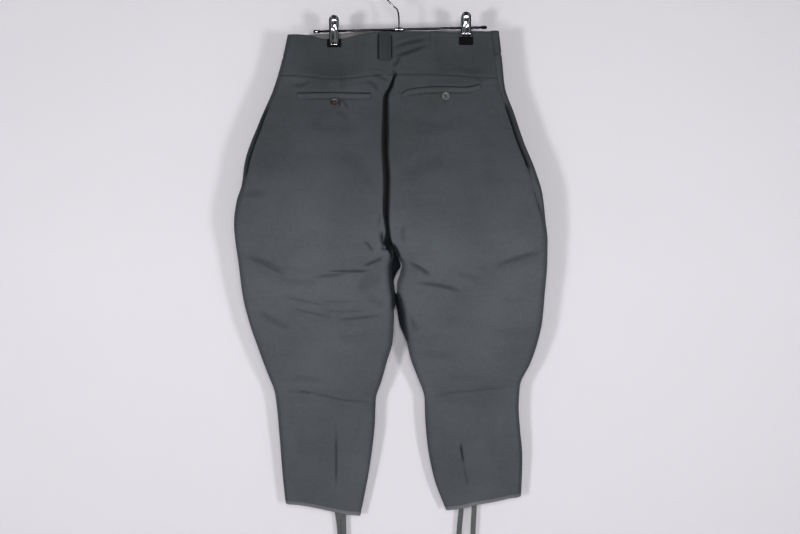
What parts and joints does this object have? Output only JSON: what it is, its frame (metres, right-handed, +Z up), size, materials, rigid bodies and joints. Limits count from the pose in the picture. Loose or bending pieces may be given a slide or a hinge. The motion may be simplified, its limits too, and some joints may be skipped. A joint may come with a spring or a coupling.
{
  "type": "knee breeches on a clip hanger",
  "caption": "Wool riding breeches with flared thighs, a fitted calf and a deep back yoke, hung flat by the waist from a chrome clip hanger.",
  "frame": {"origin": "inside top of the hanger's hook, where a rail or a nail carries it", "axes": "+Z up; -Y is the back of the breeches and +Y their front; +X is to the right as the back is looked at"},
  "size_m": [0.5841, 0.0643, 1.2331],
  "materials": {
    "wool": "matte twill wool, field grey",
    "yoke_wool": "matte twill wool, a little darker",
    "facing": "greenish grey cotton",
    "binding": "raw turned edge, blue grey",
    "tape": "woven cotton tape",
    "brown_button": "polished horn-like, dark brown",
    "grey_button": "satin grey green",
    "chrome": "polished chrome plate",
    "black_rubber": "satin black rubber"
  },
  "bodies": {
    "root": {"back_yoke_left": "yoke_wool", "back_yoke_right": "yoke_wool", "back_left": "wool", "back_right": "wool", "front_left": "wool", "front_right": "wool", "front_waistband_left": "wool", "front_waistband_right": "wool", "waist_facing_left": "facing", "waist_facing_right": "facing", "hem_binding_left": "binding", "hem_binding_right": "binding", "pocket_welt_left": "wool", "pocket_welt_right": "wool", "belt_loop": "yoke_wool", "fly_strip": "wool", "button_left": "brown_button", "button_right": "grey_button", "waist_button": "grey_button", "tie_tape_left_outer": "tape", "tie_tape_left_inner": "tape", "tie_tape_right_inner": "tape", "tie_tape_right_outer": "tape", "hanger_hook": "chrome", "hanger_ferrule": "chrome", "hanger_bar": "chrome", "bar_cap_left": "black_rubber", "bar_cap_right": "black_rubber", "clip_left_lever_back": "chrome", "clip_left_lever_front": "chrome", "clip_left_spring": "chrome", "clip_left_pad_back": "black_rubber", "clip_left_pad_front": "black_rubber", "clip_right_lever_back": "chrome", "clip_right_lever_front": "chrome", "clip_right_spring": "chrome", "clip_right_pad_back": "black_rubber", "clip_right_pad_front": "black_rubber"}
  },
  "joints": []
}
